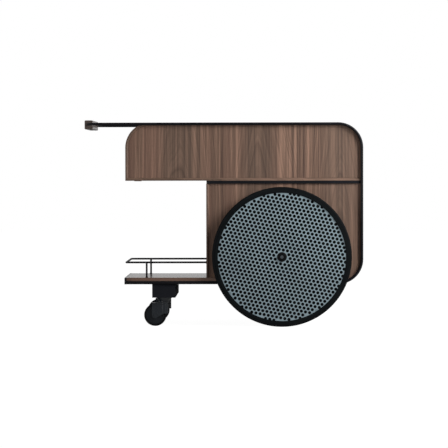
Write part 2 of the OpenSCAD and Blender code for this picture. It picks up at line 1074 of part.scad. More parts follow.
// A round neck with a hood and two legs, which reach down on both sides of the wheel
module castor_body() {
    hood_top = body_top - 4;
    color(nylon)
        difference() {
            union() {
                rod_z(neck_low, body_top, castor_x, -castor_y, neck_d);
                translate([castor_x, -castor_y, 0])
                    rotate_extrude()
                        polygon([[0, body_top - 7.5], [neck_d / 2 - 1, body_top - 7.5],
                            [head_low_d / 2 - 0.5, body_top - 1],
                            [head_low_d / 2 - 0.5, body_top], [0, body_top]]);
                slab(castor_y - leg_out, castor_y + leg_out) {
                    polygon([[hood_left, castor_r], [hood_left, hood_top - 2],
                        [castor_x - neck_d / 2, hood_top], [castor_x, hood_top],
                        [castor_x, neck_low], [castor_axle_x + leg_r * 0.7,
                            castor_r - leg_r * 0.7], [castor_axle_x, castor_r]]);
                    translate([castor_axle_x, castor_r])
                        circle(leg_r);
                }
            }
            slab(castor_y - leg_in, castor_y + leg_in)
                translate([castor_axle_x, castor_r])
                    circle(hood_r);
            rod_z(pin_low - 1, castor_h, castor_x, -castor_y, kingpin_d + 2 * run);
        }
}

module castor_axle() {
    color(bare_steel) {
        rod_y(-castor_y - leg_out, -castor_y + leg_out, castor_axle_x, castor_r, castor_pin_d);
        for (y = [-castor_y - leg_out - 2, -castor_y + leg_out])
            rod_y(y, y + 2, castor_axle_x, castor_r, pin_head_d);
    }
}

module castor_core() {
    half_w = castor_wheel_w / 2;
    color(nylon)
        translate([0, -castor_y, 0])
            turned(castor_axle_x, castor_r)
                difference() {
                    plate([castor_pin_d / 2 + run, -half_w], [castor_core_r, half_w]);
                    for (s = [-1, 1])
                        translate([(castor_pin_d / 2 + 4 + castor_core_r - 3) / 2, s * half_w])
                            square([castor_core_r - castor_pin_d / 2 - 7, 5], center = true);
                }
}

module castor_tyre() {
    half_w = castor_wheel_w / 2 - 0.5;
    tread = castor_tread * 0.45;
    color(rubber)
        translate([0, -castor_y, 0])
            turned(castor_axle_x, castor_r) {
                plate([castor_core_r, -half_w], [castor_r - tread, half_w]);
                plate([castor_core_r, -half_w + tread], [castor_r, half_w - tread]);
                for (y = [-half_w + tread, half_w - tread])
                    translate([castor_r - tread, y])
                        circle(tread);
            }
}

module castor_head_front() {
    castor_head();
}

module castor_head_back() {
    at_back()
        castor_head();
}

module castor_body_front() {
    castor_body();
    castor_axle();
}

module castor_body_back() {
    at_back() {
        castor_body();
        castor_axle();
    }
}

module castor_core_front() {
    castor_core();
}

module castor_core_back() {
    at_back()
        castor_core();
}

module castor_tyre_front() {
    castor_tyre();
}

module castor_tyre_back() {
    at_back()
        castor_tyre();
}

side_rod_front();
side_rod_back();
handle_bar();
handle_grip();
grip_ends();
frame_screws();
shelf_end_bar();
cross_ties();
castor_beam();
beam_end_plates();
upper_shell();
upper_panel_front();
upper_panel_back();
upper_battens();
middle_deck();
lower_shell();
lower_panel_front();
lower_panel_back();
lower_battens();
niche_stiles();
niche_back();
shelf_board();
gallery_rail();
gallery_posts();
rail_collars();
wheel_axle();
axle_flanges();
axle_nuts();
runner_channels();
drawer_front();
drawer_sides();
drawer_back();
drawer_bottom();
drawer_slides();
drawer_pull();
tyre_front();
rim_front();
perforated_disc_front();
backing_disc_front();
hub_front();
bearings_front();
hub_cap_front();
hub_plug_front();
tyre_back();
rim_back();
perforated_disc_back();
backing_disc_back();
hub_back();
bearings_back();
hub_cap_back();
hub_plug_back();
castor_head_front();
castor_body_front();
castor_core_front();
castor_tyre_front();
castor_head_back();
castor_body_back();
castor_core_back();
castor_tyre_back();
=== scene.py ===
"""Dress the bar cart: walnut, black steel, leather, rubber and perforated sheet, in metres.

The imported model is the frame. Every sub-assembly is a class that takes its sizes from that
frame, builds the pieces that the solids leave out and gives each piece its finish.
"""

import logging
import math
from abc import ABC, abstractmethod
from dataclasses import dataclass
from enum import Enum
from typing import Iterable, Mapping, Sequence, Union

import bmesh
import bpy
from mathutils import Euler, Matrix, Vector, noise


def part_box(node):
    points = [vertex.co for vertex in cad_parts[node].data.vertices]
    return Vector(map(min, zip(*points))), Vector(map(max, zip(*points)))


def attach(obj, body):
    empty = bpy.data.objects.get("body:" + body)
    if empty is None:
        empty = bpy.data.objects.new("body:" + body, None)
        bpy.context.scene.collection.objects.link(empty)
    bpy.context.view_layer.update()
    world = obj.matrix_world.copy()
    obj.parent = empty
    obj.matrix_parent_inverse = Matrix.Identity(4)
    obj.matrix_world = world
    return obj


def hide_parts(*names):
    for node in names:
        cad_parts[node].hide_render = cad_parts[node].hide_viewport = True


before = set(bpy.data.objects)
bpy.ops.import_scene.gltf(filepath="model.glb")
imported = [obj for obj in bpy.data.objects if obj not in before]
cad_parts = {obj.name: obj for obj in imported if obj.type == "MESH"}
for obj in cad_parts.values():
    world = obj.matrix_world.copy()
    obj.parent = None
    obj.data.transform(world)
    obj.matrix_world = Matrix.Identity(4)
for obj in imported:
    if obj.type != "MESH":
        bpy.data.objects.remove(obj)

log = logging.getLogger("bar_cart")

MM = 0.001
Colour = tuple[float, float, float]
Spot = tuple[float, float, float]
Pair = tuple[float, float]
Value = Union["Socket", float]
MADE: dict["Finish", bpy.types.Material] = {}


class Side(Enum):
    """The two long sides of the cart."""

    FRONT = "front"
    BACK = "back"


class Grain(Enum):
    """Which way the wood fibres run."""

    UPRIGHT = "upright"
    AROUND = "around"
    LENGTHWISE = "lengthwise"


def srgb(red: int, green: int, blue: int) -> Colour:
    """Turn a display colour into the linear one that a shader takes.

    Args:
        red: Red from 0 to 255.
        green: Green from 0 to 255.
        blue: Blue from 0 to 255.

    Returns:
        The linear colour.
    """

    def linear(value: int) -> float:
        """Turn one channel into its linear share."""
        share = value / 255
        return share / 12.92 if share <= 0.04045 else ((share + 0.055) / 1.055) ** 2.4

    return linear(red), linear(green), linear(blue)


def shifted(colour: Colour, share: float, lift: float = 0.0) -> Colour:
    """Multiply a linear colour by a share and lift it a little."""
    return tuple(channel * share + lift for channel in colour)


class Socket:
    """A shader socket for Python expressions: each operator adds its Math node."""

    def __init__(self, graph: "Graph", output: bpy.types.NodeSocket) -> None:
        """Wrap an output socket of the graph."""
        self.graph = graph
        self.output = output

    def math(self, operation: str, *values: Value) -> "Socket":
        """Add a Math node of that operation, with sockets or numbers as its inputs."""
        return self.graph.add("ShaderNodeMath", {"operation": operation}, dict(enumerate(values)))

    def __add__(self, other: Value) -> "Socket":
        """Sum."""
        return self.math("ADD", self, other)

    __radd__ = __add__

    def __sub__(self, other: Value) -> "Socket":
        """Difference."""
        return self.math("SUBTRACT", self, other)

    def __rsub__(self, other: Value) -> "Socket":
        """Difference, with the number first."""
        return self.math("SUBTRACT", other, self)

    def __mul__(self, other: Value) -> "Socket":
        """Product."""
        return self.math("MULTIPLY", self, other)

    __rmul__ = __mul__

    def __truediv__(self, other: Value) -> "Socket":
        """Quotient."""
        return self.math("DIVIDE", self, other)

    def __pow__(self, other: Value) -> "Socket":
        """Power."""
        return self.math("POWER", self, other)

    def __abs__(self) -> "Socket":
        """Absolute value."""
        return self.math("ABSOLUTE", self)

    def above(self, edge: float, width: float) -> "Socket":
        """Rise smoothly from 0 to 1.

        Args:
            edge: The value in the middle of the rise.
            width: How wide the rise is.

        Returns:
            The mask.
        """
        limits = {1: edge - width / 2, 2: edge + width / 2, 3: 0.0, 4: 1.0}
        settings = {"interpolation_type": "SMOOTHSTEP"}
        return self.graph.add("ShaderNodeMapRange", settings, {0: self, **limits})

    def between(self, low: float, high: float) -> "Socket":
        """Map 0 to 1 onto a range of values."""
        return self * (high - low) + low

    def fold(self, size: float) -> "Socket":
        """Run up to a size and down again, over and over."""
        return self.math("PINGPONG", self, size)

    def whole(self) -> "Socket":
        """Round down to a whole number."""
        return self.math("FLOOR", self)


class Graph:
    """The nodes of a material or world."""

    def __init__(self, tree: bpy.types.NodeTree) -> None:
        """Start with an empty node tree."""
        self.tree = tree
        self.tree.nodes.clear()

    def show(self, shader: bpy.types.Node, kind: str) -> None:
        """Lead a shader node to an output node of that type."""
        end = self.tree.nodes.new(kind)
        self.tree.links.new(shader.outputs[0], end.inputs["Surface"])

    def add(self, kind: str, settings: Mapping[str, object],
            inputs: Mapping[Union[str, int], object], output: Union[str, int] = 0) -> Socket:
        """Add any node: its settings first, then its sockets.

        Args:
            kind: The node's type.
            settings: Its properties. "stops" sets a ramp's places and colours.
            inputs: A value or a Socket for each input's name or number.
            output: The output's name or number.

        Returns:
            The output, ready for an expression.
        """
        node = self.tree.nodes.new(kind)
        for name, value in settings.items():
            if name == "stops":
                self._set_stops(node.color_ramp, value)
            else:
                setattr(node, name, value)
        for name, value in inputs.items():
            if isinstance(value, Socket):
                self.tree.links.new(value.output, node.inputs[name])
            else:
                node.inputs[name].default_value = value
        return Socket(self, node.outputs[output])

    @staticmethod
    def _set_stops(ramp: bpy.types.ColorRamp, stops: Sequence[tuple[float, Colour]]) -> None:
        """Give a colour ramp its stops.

        Args:
            ramp: The ramp.
            stops: Its places and colours, from the first to the last.
        """
        while len(ramp.elements) < len(stops):
            ramp.elements.new(0.5)
        for element, (place, colour) in zip(ramp.elements, stops):
            element.position = place
            element.color = (*colour, 1.0)

    def position(self) -> Socket:
        """Where the surface lies in the cart's own frame, in metres."""
        return self.add("ShaderNodeTexCoord", {}, {}, "Object")

    def axes(self, vector: Socket) -> tuple[Socket, Socket, Socket]:
        """Split a vector.

        Args:
            vector: The vector.

        Returns:
            Its three parts.
        """
        first = self.add("ShaderNodeSeparateXYZ", {}, {0: vector})
        outputs = first.output.node.outputs
        return first, Socket(self, outputs[1]), Socket(self, outputs[2])

    def radius(self, place: Socket, axle: Pair) -> Socket:
        """Measure how far a place is from a wheel's axle, given by its X and Z."""
        x, _, z = self.axes(place)
        return self.length(x - axle[0], z - axle[1])

    @staticmethod
    def length(across: Socket, up: Socket) -> Socket:
        """Measure an arm by its two parts."""
        return (across * across + up * up) ** 0.5

    def rays(self) -> tuple[Socket, Socket]:
        """Give 1 for a ray from the camera, and 1 for one from a glossy surface."""
        seen = self.add("ShaderNodeLightPath", {}, {}, "Is Camera Ray")
        return seen, Socket(self, seen.output.node.outputs["Is Glossy Ray"])

    def vector(self, x: Value, y: Value, z: Value) -> Socket:
        """Join three parts into a vector."""
        return self.add("ShaderNodeCombineXYZ", {}, {0: x, 1: y, 2: z})

    def stretch(self, vector: Socket, scale: Sequence[float]) -> Socket:
        """Multiply a vector by a scale for each axis."""
        inputs = {0: vector, 1: tuple(scale)}
        return self.add("ShaderNodeVectorMath", {"operation": "MULTIPLY"}, inputs)

    def noise(self, vector: Socket, scale: float, detail: float = 2.0,
              roughness: float = 0.5) -> Socket:
        """Add noise, in patterns for each metre, with finer layers and their strength."""
        inputs = {"Vector": vector, "Scale": scale, "Detail": detail, "Roughness": roughness}
        return self.add("ShaderNodeTexNoise", {}, inputs)

    def mix(self, share: Value, first: object, second: object, mode: str = "MIX") -> Socket:
        """Mix two colours.

        Args:
            share: How much of the second there is, from 0 to 1.
            first: A colour or a Socket.
            second: A colour or a Socket.
            mode: How they mix.

        Returns:
            The mixed colour.
        """

        def ready(colour: object) -> object:
            """Give a plain colour its alpha."""
            return colour if isinstance(colour, Socket) else (*colour, 1.0)

        settings = {"data_type": "RGBA", "blend_type": mode, "clamp_factor": True}
        return self.add(
            "ShaderNodeMix", settings, {0: share, 6: ready(first), 7: ready(second)}, 2
        )


class Surface(Graph):
    """One material's nodes, around a Principled shader."""

    def __init__(self, name: str) -> None:
        """Start a material around its shader.

        Args:
            name: The material's name.
        """
        self.material = bpy.data.materials.new(name)
        self.material.use_nodes = True
        super().__init__(self.material.node_tree)
        self.shader = self.tree.nodes.new("ShaderNodeBsdfPrincipled")
        self.show(self.shader, "ShaderNodeOutputMaterial")

    def set(self, **values: object) -> None:
        """Set or link the shader's sockets.

        Args:
            values: Numbers, colours or Sockets by the sockets' names, in small letters with
                underscores.
        """
        for name, value in values.items():
            words = name.split("_")
            title = " ".join(w.upper() if w == "ior" else w.capitalize() for w in words)
            socket = self.shader.inputs[title]
            if isinstance(value, Socket):
                self.tree.links.new(value.output, socket)
            elif isinstance(value, tuple):
                socket.default_value = (*value, 1.0)
            else:
                socket.default_value = value

    def bump(self, height: Socket, depth: float, strength: float) -> None:
        """Raise the surface by a pattern, where 1 stands that deep, and show a share of it."""
        inputs = {"Strength": strength, "Distance": depth, "Height": height}
        self.set(normal=self.add("ShaderNodeBump", {}, inputs))


@dataclass(frozen=True)
class Finish(ABC):
    """A finish that any piece can take. Each one makes its material once.

    A pattern's size is in repeats for each metre. Its detail is how many finer layers it has
    and how strong they are, and a drawn pattern is stretched along each axis. A rise is where
    a mask is half way up and how wide the rise is.
    """

    name: str

    @abstractmethod
    def paint(self, surface: Surface) -> None:
        """Fill a surface's nodes with this finish.

        Args:
            surface: The material's nodes.
        """

    def material(self) -> bpy.types.Material:
        """Make the material at its first use.

        Returns:
            The material, which all pieces of this finish share.
        """
        if self not in MADE:
            surface = Surface(self.name)
            self.paint(surface)
            MADE[self] = surface.material
        return MADE[self]

    def dress(self, *names: str) -> None:
        """Give the CAD nodes of those names this finish."""
        for name in names:
            self.cover(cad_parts[name])

    def cover(self, piece: bpy.types.Object) -> None:
        """Give a piece this finish in place of any other.

        Args:
            piece: A new piece or a CAD node.
        """
        piece.data.materials.clear()
        piece.data.materials.append(self.material())
        log.info("%s: %s", piece.name, self.name)


@dataclass(frozen=True)
class Walnut(Finish):
    """Oiled walnut veneer: book-matched leaves with arched figure between straight sides."""

    grain: Grain = Grain.UPRIGHT
    pale: Colour = srgb(160, 126, 107)
    middle: Colour = srgb(112, 88, 74)
    deep: Colour = srgb(72, 54, 47)
    line: Colour = srgb(48, 35, 31)
    blush: Colour = srgb(136, 103, 88)
    arch: Colour = srgb(90, 76, 66)
    # Colour of the shade painted below a height, where one is given.
    painted_shade: Colour = srgb(26, 23, 24)
    leaf_width: float = 0.296
    leaf_start: float = -0.084
    leaf_shift: float = 7.0
    leaf_sway: float = 0.20
    arch_height: float = 16.0
    arch_spread: float = 420.0
    arch_power: float = 1.6
    wandering: float = 3.0
    rippling: float = 0.6
    wander: Pair = (7.0, 2.0)
    ripple: Pair = (70.0, 8.0)
    bands: Pair = (34.0, 0.5)
    streaks: Pair = (130.0, 1.0)
    fibres: Pair = (380.0, 4.0)
    pores: Pair = (1500.0, 45.0)
    blushes: Pair = (20.0, 0.5)
    side_rise: Pair = (0.20, 0.22)
    fading_rise: Pair = (0.48, 0.24)
    pore_rise: Pair = (0.66, 0.08)
    blush_rise: Pair = (0.48, 0.20)
    line_power: float = 5.0
    shares: tuple[float, ...] = (0.20, 0.22, 0.36, 0.22)
    stops: tuple[float, ...] = (0.39, 0.50, 0.61)
    blush_share: float = 0.40
    arch_share: float = 0.38
    line_share: float = 0.34
    pore_share: float = 0.40
    depth: float = 0.16 * MM
    painted_shade_edge: float = 0.4 * MM
    shade: float = 0.97
    gloss: float = 0.54
    gloss_spread: Pair = (0.10, 0.12)
    level: float = 0.32
    relief: float = 0.5
    painted_shade_below: float = -1.0

    def paint(self, surface: Surface) -> None:
        """Lay out the leaves, their rings, streaks, fibres and pores.

        Args:
            surface: The material's nodes.
        """
        place = surface.position()
        across, along = self._directions(surface, place)
        leaf = (across - self.leaf_start) / self.leaf_width
        tone = surface.add(
            "ShaderNodeTexWhiteNoise", {"noise_dimensions": "1D"}, {"W": leaf.whole() * 3.17}
        )
        wander = self._waves(surface, across, along, self.wander, 1.3)
        ripple = self._waves(surface, across, along, self.ripple, 4.1)
        side = abs(leaf.fold(1.0) - 0.5 + (wander - 0.5) * self.leaf_sway)
        arches = (side * self.leaf_width) ** self.arch_power * self.arch_spread
        phase = (
            arches + along * self.arch_height + wander * self.wandering
            + ripple * self.rippling + tone * self.leaf_shift
        )
        ring = surface.noise(surface.vector(phase, 0.0, 0.0), 1.0, 2.0, 0.55)
        edge = (phase * 0.5).fold(0.5) * 2.0
        fading = surface.noise(surface.vector(phase * 0.37, 7.0, along * 3.0), 1.0, 1.0)
        straight = side.above(*self.side_rise)
        faded = edge ** self.line_power * fading.above(*self.fading_rise)
        lines = faded * (1.0 - straight * 0.6)

        bands, streaks, fibres, pores = (
            self._waves(surface, across, along, scale, scale[0], 0.55)
            for scale in (self.bands, self.streaks, self.fibres, self.pores)
        )
        pores = pores.above(*self.pore_rise)

        parts = zip((ring, bands, streaks, fibres), self.shares)
        figure = sum(part * share for part, share in parts)
        ramp = surface.add(
            "ShaderNodeValToRGB",
            {"stops": list(zip(self.stops, (self.deep, self.middle, self.pale)))},
            {"Fac": figure},
        )
        blush = self._waves(surface, across, along, self.blushes, 9.0).above(*self.blush_rise)
        warm = surface.mix(blush * straight * self.blush_share, ramp, self.blush)
        grey = surface.mix((1.0 - straight) * self.arch_share, warm, self.arch)
        ringed = surface.mix(lines * self.line_share, grey, self.line)
        open_pores = surface.mix(pores * self.pore_share, ringed, self.line)
        colour = surface.mix(1.0, open_pores, (self.shade,) * 3, "MULTIPLY")
        # Below that height the wood takes painted shade: the bottom strip of the shelf's edge and
        # of its edge bands.
        if self.painted_shade_below > 0:
            level = surface.axes(place)[2].above(self.painted_shade_below, self.painted_shade_edge)
            colour = surface.mix(level, self.painted_shade, colour)
        down, up = self.gloss_spread
        surface.set(
            base_color=colour,
            roughness=(fibres * 0.5 + ring * 0.5).between(self.gloss - down, self.gloss + up),
            specular_ior_level=self.level,
        )
        height = fibres * 0.6 + ring * 0.3 - pores * 0.8 - lines * 0.3
        surface.bump(height, self.depth, self.relief)

    @staticmethod
    def _waves(surface: Surface, across: Socket, along: Socket, scale: Pair,
               layer: float, roughness: float = 0.5) -> Socket:
        """Add waves, or streaks where they change far faster across the fibres than along."""
        place = surface.vector(across * scale[0], layer, along * scale[1])
        return surface.noise(place, 1.0, 2.0, roughness)

    def _directions(self, surface: Surface, place: Socket) -> tuple[Socket, Socket]:
        """Measure across and along the fibres.

        Args:
            surface: The material's nodes.
            place: Where the surface lies.

        Returns:
            The two distances, in metres.
        """
        x, y, z = surface.axes(place)
        if self.grain is Grain.UPRIGHT:
            return x + y * 0.35, z
        if self.grain is Grain.AROUND:
            return y, x + z
        return y + z, x


@dataclass(frozen=True)
class Coat(Finish):
    """A thin coat: a fine skin over clouds that shift its tone and its gloss."""

    colour: Colour = srgb(16, 15, 19)
    roughness: float = 0.50
    level: float = 0.15
    metallic: float = 0.0
    skin: float = 1100.0
    skin_drawn: Spot = (1.0, 1.0, 1.0)
    skin_detail: Pair = (2.0, 0.5)
    skin_gloss: float = 0.5
    gloss_spread: Pair = (0.10, 0.14)
    clouds: float = 14.0
    cloud_detail: Pair = (3.0, 0.5)
    cloud_rise: Pair = (0.55, 0.5)
    cloud_share: float = 0.6
    cloud_tone: float = 1.5
    cloud_lift: float = 0.0
    cloud_relief: float = 0.0
    depth: float = 0.08 * MM
    relief: float = 0.5

    def paint(self, surface: Surface) -> None:
        """Lay the skin over the clouds.

        Args:
            surface: The material's nodes.
        """
        place = surface.position()
        skin = self._skin(surface, place)
        cloud = surface.noise(place, self.clouds, *self.cloud_detail)
        share = cloud.above(*self.cloud_rise) * self.cloud_share
        clouded = shifted(self.colour, self.cloud_tone, self.cloud_lift)
        painted = surface.mix(share, self.colour, clouded)
        gloss = cloud * (1.0 - self.skin_gloss) + skin * self.skin_gloss
        down, up = self.gloss_spread
        surface.set(
            base_color=self._shade(surface, place, painted),
            metallic=self.metallic,
            roughness=gloss.between(self.roughness - down, self.roughness + up),
            specular_ior_level=self.level,
        )
        height = cloud * self.cloud_relief + skin * (1.0 - self.cloud_relief)
        surface.bump(height, self.depth, self.relief)

    def _skin(self, surface: Surface, place: Socket) -> Socket:
        """Add the fine pattern of the skin."""
        drawn = surface.stretch(place, self.skin_drawn)
        return surface.noise(drawn, self.skin, *self.skin_detail)

    def _shade(self, surface: Surface, place: Socket, painted: Socket) -> Socket:
        """Leave the painted colour as it is, which some coats change in places."""
        return painted


@dataclass(frozen=True)
class PowderCoat(Coat):
    """Satin powder coat with a fine orange peel and a few worn places."""

    skin_detail: Pair = (2.0, 0.6)
    cloud_lift: float = 0.002


@dataclass(frozen=True)
class DiscPaint(Coat):
    """Grey-green paint on perforated sheet, with painted shade on the holes' walls and rims and a
    dark ring at the hub.
    """

    colour: Colour = srgb(141, 159, 167)
    roughness: float = 0.48
    level: float = 0.35
    skin: float = 900.0
    skin_gloss: float = 0.4
    gloss_spread: Pair = (0.12, 0.12)
    clouds: float = 7.0
    cloud_detail: Pair = (4.0, 0.55)
    cloud_rise: Pair = (0.5, 0.6)
    cloud_share: float = 1.0
    cloud_tone: float = 0.84
    depth: float = 0.05 * MM
    relief: float = 0.4
    # Near black for the shade painted on the holes' walls and rims, and for the dark ring round
    # the hub cap.
    hole_shade_and_ring_black: Colour = srgb(6, 7, 8)
    face: float = 0.2
    face_depth: float = 0.3 * MM
    axle: Pair = (0.0, 0.0)
    hole_reach: Pair = (0.0, 1.0)
    # Out to this radius round the axle the paint is dark: a dark ring round the hub cap.
    cap_ring_radius: float = 0.0
    hole_radius: float = 5.0 * MM
    hole_pitch: float = 15.4 * MM
    row_pitch: float = 12.9 * MM
    row_angle: float = math.radians(-11.25)
    # How wide the painted shade on each hole's rim is.
    rim_width: float = 0.95 * MM
    rim_softness: float = 0.5 * MM

    def _shade(self, surface: Surface, place: Socket, painted: Socket) -> Socket:
        """Paint shade on the holes' walls and their rims, and paint a dark ring round the hub
        cap.

        Args:
            surface: The material's nodes.
            place: Where the surface lies.
            painted: The paint's colour.

        Returns:
            The colour that shows.
        """
        height = abs(surface.axes(place)[1])
        outside = height.above(self.face - self.face_depth, self.face_depth)
        cap_ring = surface.radius(place, self.axle).above(self.cap_ring_radius, self.rim_softness)
        # The holes' walls and rims take painted shade, and the ring round the hub cap is painted
        # dark.
        flat = outside * cap_ring * self._away_from_rims(surface, place)
        return surface.mix(flat, self.hole_shade_and_ring_black, painted)

    def _away_from_rims(self, surface: Surface, place: Socket) -> Socket:
        """Follow the rows of holes, which are two square-cornered grids, half a step apart.

        Args:
            surface: The material's nodes.
            place: Where the surface lies.

        Returns:
            0 at each hole's rim and 1 on the flat sheet between the holes.
        """
        x, _, z = surface.axes(place)
        across, up = x - self.axle[0], z - self.axle[1]
        cosine, sine = math.cos(self.row_angle), math.sin(self.row_angle)
        along_row = across * cosine + up * sine
        over_rows = up * cosine - across * sine
        nearest, farthest = self.hole_reach
        flat: Value = 1.0
        for start in (0.0, 0.5):
            column = (along_row / self.hole_pitch - start + 0.5).whole() + start
            row = (over_rows / (2 * self.row_pitch) - start + 0.5).whole() + start
            hole_x, hole_z = column * self.hole_pitch, row * (2 * self.row_pitch)
            reach = surface.length(hole_x, hole_z)
            real = reach.above(nearest, MM) * (1.0 - reach.above(farthest, MM))
            away = surface.length(along_row - hole_x, over_rows - hole_z)
            sheet = away.above(self.hole_radius + self.rim_width, self.rim_softness)
            flat = (1.0 - (1.0 - sheet) * real) * flat
        return flat


@dataclass(frozen=True)
class Rubber(Coat):
    """Black rubber with fine lines around its axle and a dusty bloom."""

    roughness: float = 0.70
    level: float = 0.10
    skin_gloss: float = 0.0
    gloss_spread: Pair = (0.15, 0.15)
    clouds: float = 30.0
    cloud_detail: Pair = (4.0, 0.6)
    cloud_rise: Pair = (0.58, 0.3)
    cloud_share: float = 0.5
    cloud_tone: float = 1.8
    cloud_lift: float = 0.003
    cloud_relief: float = 0.5
    depth: float = 0.2 * MM
    axle: Pair = (0.0, 0.0)
    line_pitch: float = 1.6 * MM

    def _skin(self, surface: Surface, place: Socket) -> Socket:
        """Turn fine moulding lines about the axle."""
        return (surface.radius(place, self.axle) / self.line_pitch).fold(1.0)


@dataclass(frozen=True)
class Moulded(Coat):
    """Moulded plastic with a fine spark-eroded skin."""

    skin: float = 2400.0
    skin_gloss: float = 0.3
    gloss_spread: Pair = (0.10, 0.15)
    clouds: float = 40.0
    cloud_rise: Pair = (0.5, 0.5)
    cloud_share: float = 0.5
    cloud_tone: float = 1.4
    cloud_lift: float = 0.002
    depth: float = 0.06 * MM


@dataclass(frozen=True)
class Leather(Finish):
    """Dark brown leather with pebbled grain, creases and a polished bloom."""

    colour: Colour = srgb(108, 97, 90)
    deep: Colour = srgb(54, 46, 43)
    worn: Colour = srgb(118, 106, 98)
    pebbles: float = 900.0
    folds: float = 130.0
    wear: float = 22.0
    pebble_rise: Pair = (0.12, 0.24)
    fold_drawn: Spot = (1.0, 0.35, 1.0)
    wear_rise: Pair = (0.56, 0.3)
    wear_share: float = 0.45
    gloss: Pair = (0.14, 0.32)
    depth: float = 0.20 * MM
    relief: float = 0.4

    def paint(self, surface: Surface) -> None:
        """Pebble the skin and darken its creases.

        Args:
            surface: The material's nodes.
        """
        place = surface.position()
        cells = surface.add(
            "ShaderNodeTexVoronoi", {"feature": "DISTANCE_TO_EDGE"},
            {"Vector": place, "Scale": self.pebbles}, "Distance",
        )
        pebbles = cells.above(*self.pebble_rise)
        folds = surface.noise(surface.stretch(place, self.fold_drawn), self.folds, 4.0, 0.6)
        wear = surface.noise(place, self.wear, 3.0)
        tone = surface.mix(pebbles * 0.7 + 0.15, self.deep, self.colour)
        rubbed = wear.above(*self.wear_rise) * self.wear_share
        surface.set(
            base_color=surface.mix(rubbed, tone, self.worn),
            roughness=(wear * 0.6 + pebbles * 0.4).between(*self.gloss),
            specular_ior_level=0.5,
        )
        surface.bump(pebbles * 0.5 + folds * 0.9, self.depth, self.relief)


@dataclass(frozen=True)
class Thread(Finish):
    """Waxed thread with a twist."""

    colour: Colour = srgb(70, 62, 56)
    strands: float = 2600.0
    drawn: Spot = (1.0, 2.4, 1.0)
    gloss: Pair = (0.5, 0.8)
    shade: float = 0.4
    depth: float = 0.1 * MM
    relief: float = 0.6

    def paint(self, surface: Surface) -> None:
        """Twist the strands.

        Args:
            surface: The material's nodes.
        """
        stretched = surface.stretch(surface.position(), self.drawn)
        twist = surface.noise(stretched, self.strands, 2.0)
        surface.set(
            base_color=surface.mix(twist, self.colour, shifted(self.colour, self.shade)),
            roughness=twist.between(*self.gloss),
        )
        surface.bump(twist, self.depth, self.relief)


@dataclass(frozen=True)
class Steel(Coat):
    """Zinc plated steel with fine scratches and dull patches."""

    colour: Colour = srgb(168, 170, 174)
    roughness: float = 0.34
    level: float = 0.5
    metallic: float = 1.0
    skin: float = 1400.0
    skin_drawn: Spot = (0.08, 1.0, 1.0)
    skin_detail: Pair = (2.0, 0.7)
    gloss_spread: Pair = (0.08, 0.18)
    clouds: float = 45.0
    cloud_rise: Pair = (0.5, 0.5)
    cloud_share: float = 1.0
    cloud_tone: float = 0.72
    depth: float = 0.03 * MM
    relief: float = 0.4


@dataclass(frozen=True)
class BlackBoard(Coat):
    """Black faced board with a faint fibre texture."""

    colour: Colour = srgb(12, 12, 13)
    roughness: float = 0.70
    skin: float = 700.0
    skin_drawn: Spot = (0.3, 1.0, 0.3)
    skin_detail: Pair = (3.0, 0.5)
    skin_gloss: float = 1.0
    gloss_spread: Pair = (0.15, 0.15)
    clouds: float = 12.0
    cloud_rise: Pair = (0.55, 0.4)
    cloud_share: float = 0.5
    cloud_tone: float = 1.8
    depth: float = 0.06 * MM


class Piece:
    """A new mesh piece, shaped by bmesh operators and then set on a CAD body."""

    def __init__(self, name: str) -> None:
        """Start an empty piece of that name."""
        self.name = name
        self.form = bmesh.new()

    def spin(self, outline: Sequence[Pair], centre: Vector, axis: Vector,
             start: Vector, steps: int) -> list[bmesh.types.BMVert]:
        """Turn an outline once about an axis. Its ends lie on the axis.

        Args:
            outline: Pairs of radius and place along the axis.
            centre: A point on the axis, where the second number is 0.
            axis: The axis, of length 1.
            start: The direction of the radius, of length 1.
            steps: How many flats the full turn has.

        Returns:
            The corners of the turned form.
        """
        before = set(self.form.verts)
        points = [
            self.form.verts.new(centre + start * radius + axis * place)
            for radius, place in outline
        ]
        edges = [self.form.edges.new(pair) for pair in zip(points, points[1:])]
        bmesh.ops.spin(
            self.form, geom=[*points, *edges], cent=centre, axis=axis,
            angle=math.tau, steps=steps, use_merge=True, use_duplicate=False,
        )
        return [corner for corner in self.form.verts if corner not in before]

    def block(self, size: Vector, spot: Vector) -> None:
        """Add a block.

        Args:
            size: How long it is along each axis.
            spot: Where its middle is.
        """
        corners = bmesh.ops.create_cube(self.form, size=1.0)["verts"]
        bmesh.ops.scale(self.form, verts=corners, vec=size)
        bmesh.ops.translate(self.form, verts=corners, vec=spot)

    def finish(self, body: str, finish: Finish, slot: str, smooth: bool = True,
               replaces: Iterable[str] = ()) -> bpy.types.Object:
        """Turn the piece into an object that rides on a body.

        Args:
            body: The CAD body.
            finish: Its finish.
            slot: The record's material slot. Not used.
            smooth: Whether its faces are shaded smooth.
            replaces: CAD nodes that it stands for.

        Returns:
            The object.
        """
        bmesh.ops.remove_doubles(self.form, verts=self.form.verts, dist=1e-6)
        bmesh.ops.recalc_face_normals(self.form, faces=self.form.faces)
        mesh = bpy.data.meshes.new(self.name)
        self.form.to_mesh(mesh)
        self.form.free()
        mesh.polygons.foreach_set("use_smooth", [smooth] * len(mesh.polygons))
        thing = placed(self.name, mesh)
        finish.cover(thing)
        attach(thing, body)
        nodes = tuple(replaces)
        if nodes:
            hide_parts(*nodes)
        log.info("%s: %d faces on %s", self.name, len(mesh.polygons), body)
        return thing


def placed(name: str, data: bpy.types.ID) -> bpy.types.Object:
    """Put new data into the scene.

    Args:
        name: The new object's name.
        data: What it shows.

    Returns:
        The object.
    """
    thing = bpy.data.objects.new(name, data)
    bpy.context.scene.collection.objects.link(thing)
    return thing


def axle_of(tyre: str) -> Pair:
    """The X and Z of a wheel's axle, in the middle of its tyre's box."""
    low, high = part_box(tyre)
    return (low.x + high.x) / 2, (low.z + high.z) / 2


